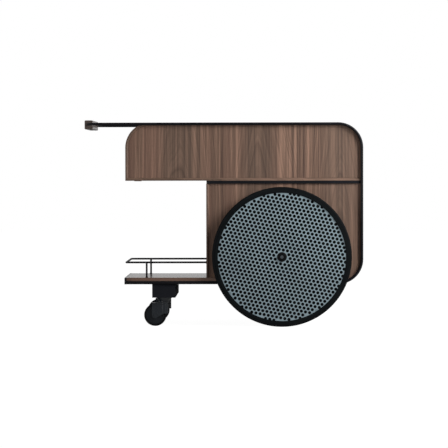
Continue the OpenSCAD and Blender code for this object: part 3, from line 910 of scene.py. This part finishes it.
@dataclass
class RodFrame:
    """The rod frame with its screws, gallery, end bar and ties, and the channelled beam."""

    coat: Finish = PowderCoat("black_powder_coat")
    bar_coat: Finish = PowderCoat("end_bar_powder_coat", roughness=0.22, level=0.5)
    beam_coat: Finish = PowderCoat(
        "beam_powder_coat", srgb(23, 24, 29), roughness=0.78, level=0.10
    )
    plated: Finish = Steel("zinc_steel")
    screw_steel: Finish = Steel("blackened_screw_steel", srgb(62, 62, 66), roughness=0.40)
    screw_places: tuple[Pair, ...] = ((-0.1495, 0.7435), (0.2295, 0.7435), (0.5075, 0.467))
    shank_radius: float = 1.5 * MM
    head_radius: float = 2.5 * MM
    head_length: float = 2.3 * MM
    head_edge: float = 0.35 * MM
    socket_radius: float = 1.45 * MM
    socket_depth: float = 1.3 * MM
    socket_flats: int = 6
    socket_margin: float = 0.05 * MM
    flats: int = 24
    shank_end: float = 0.19
    channel_side: float = 3.2 * MM
    channel_drop: float = 4.5 * MM
    channel_edge: float = 0.5 * MM

    def build(self) -> None:
        """Coat the steel, put the screws in and fold the channel."""
        self.coat.dress(
            "side_rod_front", "side_rod_back", "handle_bar", "cross_ties", "gallery_rail",
            "gallery_posts", "rail_collars", "axle_flanges",
        )
        self.bar_coat.dress("shelf_end_bar")
        self.beam_coat.dress("castor_beam")
        self.plated.dress("wheel_axle", "axle_nuts", "runner_channels")
        self._screws()
        self._channel()

    def _channel(self) -> None:
        """Fold a sheet channel round the castor beam: two sides, and a plate on each end."""
        low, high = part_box("beam_end_plates")
        beam_low, beam_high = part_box("castor_beam")
        piece = Piece("beam_channel")
        middle = (low + high) / 2
        bottom = low.z - self.channel_drop
        half_length = (high.x - low.x) / 2 + self.channel_side
        plate = high.y - beam_high.y
        plate_size = Vector((2 * half_length, plate, high.z - bottom))
        side_size = Vector((
            self.channel_side, beam_high.y - beam_low.y + plate, beam_high.z - bottom
        ))
        for way in (-1, 1):
            spot = Vector((middle.x, way * (high.y - plate / 2), (high.z + bottom) / 2))
            piece.block(plate_size, spot)
            out = middle.x + way * (half_length - self.channel_side / 2)
            piece.block(side_size, Vector((out, 0.0, (beam_high.z + bottom) / 2)))
        bmesh.ops.bevel(
            piece.form, geom=piece.form.edges[:], offset=self.channel_edge,
            offset_type="OFFSET", affect="EDGES", segments=3, profile=0.5, material=-1,
        )
        piece.finish("root", self.beam_coat, "black_paint", replaces=["beam_end_plates"])

    def _screws(self) -> None:
        """Turn the socket screws on both sides and give each socket its flats."""
        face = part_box("frame_screws")[1].y
        head_in = face - self.head_length
        outline = [
            (0.0, self.shank_end), (self.shank_radius, self.shank_end),
            (self.shank_radius, head_in), (self.head_radius, head_in),
            (self.head_radius, face - self.head_edge),
            (self.head_radius - self.head_edge, face), (self.socket_radius, face),
            (self.socket_radius, face - self.socket_depth), (0.0, face - self.socket_depth),
        ]
        piece = Piece("socket_screws")
        for way in (-1, 1):
            out = Vector((0, way, 0))
            for x, z in self.screw_places:
                centre = Vector((x, 0, z))
                corners = piece.spin(outline, centre, out, Vector((1, 0, 0)), self.flats)
                self._flatten(corners, centre)
        piece.finish("root", self.screw_steel, "steel", smooth=False, replaces=["frame_screws"])

    def _flatten(self, corners: Iterable[bmesh.types.BMVert], centre: Vector) -> None:
        """Draw a round socket in to a hexagon.

        Args:
            corners: The corners of a turned screw.
            centre: A point on its axis.
        """
        half = math.pi / self.socket_flats
        for corner in corners:
            arm = Vector((corner.co.x - centre.x, 0.0, corner.co.z - centre.z))
            if abs(arm.length - self.socket_radius) > self.socket_margin:
                continue
            angle = math.atan2(arm.z, arm.x) % (2 * half) - half
            corner.co -= arm * (1 - math.cos(half) / math.cos(angle))


@dataclass
class Grip:
    """The leather grip: a sewn sleeve and two end plates on the cross bar."""

    leather: Finish = Leather("grip_skin")
    thread: Finish = Thread("waxed_thread")
    corner: float = 3.5 * MM
    corner_steps: int = 6
    face_cuts: int = 9
    rings: int = 110
    rim: float = 0.9 * MM
    bore_steps: int = 32
    bore_gap: float = 0.1 * MM
    skin_from: float = 1.5
    softness: float = 0.07 * MM
    lumps: float = 55.0
    seam_width: float = 1.6 * MM
    seam_depth: float = 0.8 * MM
    stitch_offset: float = 3.6 * MM
    stitch_pitch: float = 5.0 * MM
    stitch_length: float = 3.4 * MM
    stitch_radius: float = 0.45 * MM
    stitch_margin: float = 4.0 * MM

    def build(self) -> None:
        """Make the sleeve and its stitches, and dress the ends."""
        self._sleeve()
        self._stitches()
        self.leather.dress("grip_ends")

    def _sleeve(self) -> None:
        """Draw the sleeve out along the bar, and soften it."""
        low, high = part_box("handle_grip")
        piece = Piece("grip_sleeve")
        form = piece.form
        centre = (low + high) / 2
        lie_upright = Matrix.Rotation(math.pi / 2, 3, "X")
        bar_low, bar_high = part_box("handle_bar")
        bore = (bar_high.z - bar_low.z) / 2 + self.bore_gap
        bar_z = (bar_high.z + bar_low.z) / 2

        grid = bmesh.ops.create_grid(form, x_segments=1, y_segments=1, size=0.5)
        corners = grid["verts"]
        bmesh.ops.scale(form, verts=corners, vec=(high.x - low.x, high.z - low.z, 1.0))
        bmesh.ops.bevel(
            form, geom=corners, offset=self.corner, offset_type="OFFSET", affect="VERTICES",
            segments=self.corner_steps, profile=0.5, material=-1,
        )
        sides = [edge for edge in form.edges if edge.calc_length() > 3 * self.corner]
        bmesh.ops.subdivide_edges(form, edges=sides, cuts=self.face_cuts)
        bmesh.ops.delete(form, geom=form.faces[:], context="FACES_ONLY")
        outline = form.verts[:]
        circle = bmesh.ops.create_circle(form, segments=self.bore_steps, radius=bore)
        for ring, height in ((outline, centre.z), (circle["verts"], bar_z)):
            bmesh.ops.rotate(form, verts=ring, cent=(0, 0, 0), matrix=lie_upright)
            bmesh.ops.translate(form, verts=ring, vec=(centre.x, low.y, height))
        bmesh.ops.bridge_loops(form, edges=form.edges[:])

        drawn = bmesh.ops.extrude_face_region(form, geom=form.faces[:])["geom"]
        far = [part for part in drawn if isinstance(part, bmesh.types.BMVert)]
        bmesh.ops.translate(form, verts=far, vec=(0, high.y - low.y, 0))
        rims = [edge for edge in form.edges if self._on_rim(edge, centre, bar_z, bore)]
        bmesh.ops.bevel(
            form, geom=rims, offset=self.rim, offset_type="OFFSET", affect="EDGES",
            segments=3, profile=0.5, material=-1,
        )
        long_edges = [
            edge for edge in form.edges if edge.calc_length() > 0.5 * (high.y - low.y)
        ]
        bmesh.ops.subdivide_edges(form, edges=long_edges, cuts=self.rings)
        self._soften(form, centre, bar_z, bore)
        piece.finish("root", self.leather, "grip_leather", replaces=["handle_grip"])

    def _on_rim(self, edge: bmesh.types.BMEdge, centre: Vector, bar_z: float,
                bore: float) -> bool:
        """Find the edges that run round the outside of the sleeve's ends.

        Args:
            edge: An edge of the sleeve.
            centre: The middle of the grip.
            bar_z: The height of the bar's axis.
            bore: The radius of the sleeve's bore.

        Returns:
            Whether the edge is one of them.
        """
        first, second = (corner.co for corner in edge.verts)
        if abs(first.y - second.y) > 0.01 * MM or len(edge.link_faces) != 2:
            return False
        turn = edge.link_faces[0].normal.angle(edge.link_faces[1].normal, 0.0)
        middle = (first + second) / 2 - Vector((centre.x, 0.0, bar_z))
        outside = math.hypot(middle.x, middle.z) > bore * self.skin_from
        return abs(turn - math.pi / 2) < 0.1 and outside

    def _soften(self, form: bmesh.types.BMesh, centre: Vector, bar_z: float,
                bore: float) -> None:
        """Press the seam in below and let the skin lie a little unevenly.

        Args:
            form: The sleeve.
            centre: The middle of the grip.
            bar_z: The height of the bar's axis.
            bore: The radius of the sleeve's bore.
        """
        for corner in form.verts:
            arm = Vector((corner.co.x - centre.x, 0.0, corner.co.z - bar_z))
            if arm.length < bore * self.skin_from:
                continue
            lump = abs(noise.noise(corner.co * self.lumps)) * self.softness
            corner.co -= arm.normalized() * lump
            if corner.co.z < centre.z:
                near = math.exp(-(((corner.co.x - centre.x) / self.seam_width) ** 2))
                corner.co.z += near * self.seam_depth

    def _stitches(self) -> None:
        """Sew a row of stitches on each side of the seam."""
        low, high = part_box("handle_grip")
        piece = Piece("grip_stitches")
        centre = (low + high) / 2
        count = int((high.y - low.y - 2 * self.stitch_margin) / self.stitch_pitch)
        for row in (-1, 1):
            for number in range(count):
                along = (number - (count - 1) / 2) * self.stitch_pitch
                stitch = bmesh.ops.create_icosphere(
                    piece.form, subdivisions=1, radius=self.stitch_radius
                )
                bmesh.ops.scale(
                    piece.form, verts=stitch["verts"],
                    vec=(1.0, self.stitch_length / 2 / self.stitch_radius, 1.0),
                )
                spot = Vector((centre.x + row * self.stitch_offset, along, low.z))
                bmesh.ops.translate(piece.form, verts=stitch["verts"], vec=spot)
        piece.finish("root", self.thread, "grip_leather")


@dataclass
class Boxes:
    """The upper box, the lower cabinet, the shelf and the board between them."""

    shell: Finish = Walnut("veneer_around", Grain.AROUND)
    panel: Finish = Walnut("veneer_upright", Grain.UPRIGHT)
    # The shelf's veneer takes painted shade along the bottom of its edge.
    shelf: Finish = Walnut(
        "veneer_shelf", Grain.LENGTHWISE, shade=0.8, gloss=0.17, level=0.8, relief=0.10,
        painted_shade_below=0.167,
    )
    inside: Finish = Walnut("stained_walnut", Grain.LENGTHWISE, shade=0.42)
    inside_across: Finish = Walnut("stained_walnut_across", Grain.AROUND, shade=0.42)
    board: Finish = BlackBoard("black_faced_board")
    deck: Finish = PowderCoat("deck_lacquer", srgb(17, 17, 21), 0.5)
    band: float = 0.5 * MM
    band_drop: float = 2.5 * MM
    band_inset: float = 0.3 * MM

    def dress(self) -> None:
        """Veneer every board."""
        self.shell.dress("upper_shell", "lower_shell", "niche_stiles")
        self.shelf.dress("shelf_board")
        self.panel.dress(
            "upper_panel_front", "upper_panel_back", "lower_panel_front", "lower_panel_back"
        )
        self.inside_across.dress("niche_back")
        self.board.dress("upper_battens", "lower_battens")
        self.deck.dress("middle_deck")
        self._edge_bands()

    def _edge_bands(self) -> None:
        """Glue an edge band along both sides of the shelf, a little deeper than the board, its
        strip below the board in the shelf's painted shade.
        """
        low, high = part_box("shelf_board")
        piece = Piece("shelf_edge_bands")
        bottom = Vector((low.x + self.band_inset, 0.0, low.z - self.band_drop))
        top = Vector((high.x - self.band_inset, 0.0, high.z - self.band_inset))
        size = Vector((top.x - bottom.x, self.band, top.z - bottom.z))
        for face in (low.y - self.band / 2, high.y + self.band / 2):
            piece.block(size, Vector(((top.x + bottom.x) / 2, face, (top.z + bottom.z) / 2)))
        piece.finish("root", self.shelf, "walnut_shell", smooth=False)


@dataclass
class Drawer:
    """The drawer at the handle end."""

    boxes: Boxes
    plated: Finish = Steel("zinc_steel")

    def dress(self) -> None:
        """Veneer the front like the box that it closes."""
        self.boxes.shell.dress("drawer_front")
        self.boxes.inside.dress("drawer_sides", "drawer_pull")
        self.boxes.inside_across.dress("drawer_back")
        self.boxes.board.dress("drawer_bottom")
        self.plated.dress("drawer_slides")


@dataclass
class BigWheel:
    """One drum wheel with its tyre, rim, perforated disc and hub."""

    side: Side
    tyre_black: Colour = srgb(9, 12, 14)
    rim_coat: Finish = PowderCoat("rim_coat", srgb(10, 14, 16), roughness=0.55, level=0.08)
    # Black board behind the holes, darker than board black as painted shade seen through them.
    backing: Finish = BlackBoard("backing_black", srgb(2, 2, 3))
    bearing_steel: Finish = Steel("bearing_steel")
    cap: Finish = Moulded("cap_black", srgb(8, 9, 11), roughness=0.4, level=0.15)
    plug: Finish = Moulded("plug_grey", srgb(72, 76, 80), roughness=0.35, level=0.3)
    cap_clear: float = 7.0 * MM
    edge_clear: float = 6.0 * MM
    # How far past the hub cap the dark ring is painted on the disc.
    cap_ring_width: float = 1.6 * MM

    def dress(self) -> None:
        """Dress the wheel's pieces."""
        end = self.side.value
        axle = axle_of(f"tyre_{end}")
        Rubber("drum_tyre_rubber", self.tyre_black, axle=axle).dress(f"tyre_{end}")
        self.rim_coat.dress(f"rim_{end}", f"hub_{end}")
        self._paint_disc(axle)
        self.backing.dress(f"backing_disc_{end}")
        self.bearing_steel.dress(f"bearings_{end}")
        self.cap.dress(f"hub_cap_{end}")
        self.plug.dress(f"hub_plug_{end}")

    def _paint_disc(self, axle: Pair) -> None:
        """Paint the perforated disc, whose holes keep clear of its hub cap and its edge.

        Args:
            axle: The axle's X and Z.
        """
        end = self.side.value
        low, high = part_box(f"perforated_disc_{end}")
        cap_low, cap_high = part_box(f"hub_cap_{end}")
        cap_radius = (cap_high.x - cap_low.x) / 2
        paint = DiscPaint(
            f"disc_paint_{end}", face=max(abs(low.y), abs(high.y)), axle=axle,
            hole_reach=(cap_radius + self.cap_clear, (high.x - low.x) / 2 - self.edge_clear),
            cap_ring_radius=cap_radius + self.cap_ring_width,
        )
        paint.dress(f"perforated_disc_{end}")


@dataclass
class Castor:
    """One fork castor with a single wheel."""

    side: Side
    nylon: Finish = Moulded("castor_black", srgb(20, 26, 32), roughness=0.22, level=0.8)
    core: Finish = Moulded("castor_core_black", srgb(19, 23, 28), roughness=0.35, level=0.4)
    tread_black: Colour = srgb(15, 16, 18)
    tread_lines: float = 2.2 * MM

    def dress(self) -> None:
        """Dress the castor's pieces."""
        end = self.side.value
        self.nylon.dress(f"castor_head_{end}", f"castor_body_{end}")
        self.core.dress(f"castor_core_{end}")
        axle = axle_of(f"castor_tyre_{end}")
        tread = Rubber(
            "castor_tread_rubber", self.tread_black, axle=axle, line_pitch=self.tread_lines
        )
        tread.dress(f"castor_tyre_{end}")


@dataclass(frozen=True)
class Lamp:
    """A square area light: where it hangs, what it points at, its side and its watts."""

    name: str
    place: Spot
    target: Spot
    size: float
    power: float

    def hang(self) -> None:
        """Hang the lamp and turn it to its target."""
        light = bpy.data.lights.new(self.name, "AREA")
        light.shape = "SQUARE"
        light.size = self.size
        light.energy = self.power
        lamp = placed(self.name, light)
        place = Vector(self.place)
        aim = (Vector(self.target) - place).to_track_quat("-Z", "Y").to_matrix().to_4x4()
        lamp.matrix_world = Matrix.Translation(place) @ aim


@dataclass
class Studio:
    """The camera, lamps, floor and surroundings of the photograph."""

    frame_pixels: int = 448
    focal_pixels: float = 2600.0
    sensor: float = 36.0
    sight: float = 60.0
    eye: Spot = (0.1265, -9.7473, 0.5797)
    vanishing: Pair = (258.0, 168.5)
    roll: float = math.radians(-0.10)
    lamps: tuple[Lamp, ...] = (
        Lamp("key", place=(1.50, -1.10, 1.36), target=(0.1, -0.2, 0.45), size=0.95, power=39.0),
        Lamp("side", place=(-2.6, -1.5, 0.36), target=(0.0, -0.2, 0.2), size=0.7, power=25.0),
        Lamp("end", place=(1.05, -1.0, 0.55), target=(0.46, -0.2, 0.5), size=0.5, power=1.9),
    )
    fill_level: float = 0.26
    gloss_front: float = 0.06
    gloss_back: float = 0.62
    gloss_turn: Pair = (0.45, 0.8)
    floor_half: float = 14.0
    floor_grey: float = 0.18
    floor_glow: float = 0.97
    floor_gloss: float = 0.15
    floor_bounce: float = 0.10

    def build(self) -> None:
        """Set up the whole studio."""
        self._camera()
        for lamp in self.lamps:
            lamp.hang()
        self._world()
        self._floor()
        bpy.context.scene.view_settings.view_transform = "Standard"

    def _camera(self) -> None:
        """Aim the camera so that depth runs to the vanishing point."""
        lens = bpy.data.cameras.new("photo_camera")
        lens.sensor_width = self.sensor
        lens.lens = self.focal_pixels / self.frame_pixels * self.sensor
        lens.clip_end = self.sight
        camera = placed("photo_camera", lens)
        middle = self.frame_pixels / 2
        left = math.atan2(self.vanishing[0] - middle, self.focal_pixels)
        down = math.atan2(middle - self.vanishing[1], self.focal_pixels)
        aim = Euler((math.pi / 2 - down, 0.0, left), "XYZ").to_matrix()
        turn = Matrix.Rotation(self.roll, 3, "Z")
        camera.matrix_world = Matrix.Translation(Vector(self.eye)) @ (aim @ turn).to_4x4()
        bpy.context.scene.camera = camera

    def _world(self) -> None:
        """Surround the cart with soft light, white where the camera and gloss look."""
        world = bpy.data.worlds.new("studio")
        bpy.context.scene.world = world
        world.use_nodes = True
        graph = Graph(world.node_tree)
        seen, gloss = graph.rays()
        where = graph.add("ShaderNodeTexCoord", {}, {}, "Generated")
        depth = graph.axes(where)[1]
        mirrored = depth.above(*self.gloss_turn).between(self.gloss_front, self.gloss_back)
        lit = gloss * mirrored + (1.0 - gloss) * self.fill_level
        level = seen + (1.0 - seen) * lit
        light = graph.add(
            "ShaderNodeBackground", {}, {"Color": (1.0, 1.0, 1.0, 1.0), "Strength": level}
        )
        graph.show(light.output.node, "ShaderNodeOutputWorld")

    def _floor(self) -> None:
        """Lay a pale floor that shows white, apart from the cart's soft shadow."""
        form = bmesh.new()
        bmesh.ops.create_grid(form, x_segments=1, y_segments=1, size=self.floor_half)
        mesh = bpy.data.meshes.new("floor")
        form.to_mesh(mesh)
        form.free()
        floor = placed("floor", mesh)
        surface = Surface("floor_white")
        seen, gloss = surface.rays()
        glow = (
            seen * self.floor_glow + gloss * self.floor_gloss
            + (1.0 - seen) * (1.0 - gloss) * self.floor_bounce
        )
        surface.set(
            base_color=(self.floor_grey,) * 3, roughness=0.9, specular_ior_level=0.0,
            emission_color=(1.0, 1.0, 1.0), emission_strength=glow,
        )
        floor.data.materials.append(surface.material)


def main() -> None:
    """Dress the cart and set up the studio."""
    logging.basicConfig(level=logging.INFO, format="%(message)s")
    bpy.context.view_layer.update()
    boxes = Boxes()
    boxes.dress()
    Drawer(boxes).dress()
    RodFrame().build()
    Grip().build()
    for side in Side:
        BigWheel(side).dress()
        Castor(side).dress()
    Studio().build()


if __name__ == "__main__":
    main()
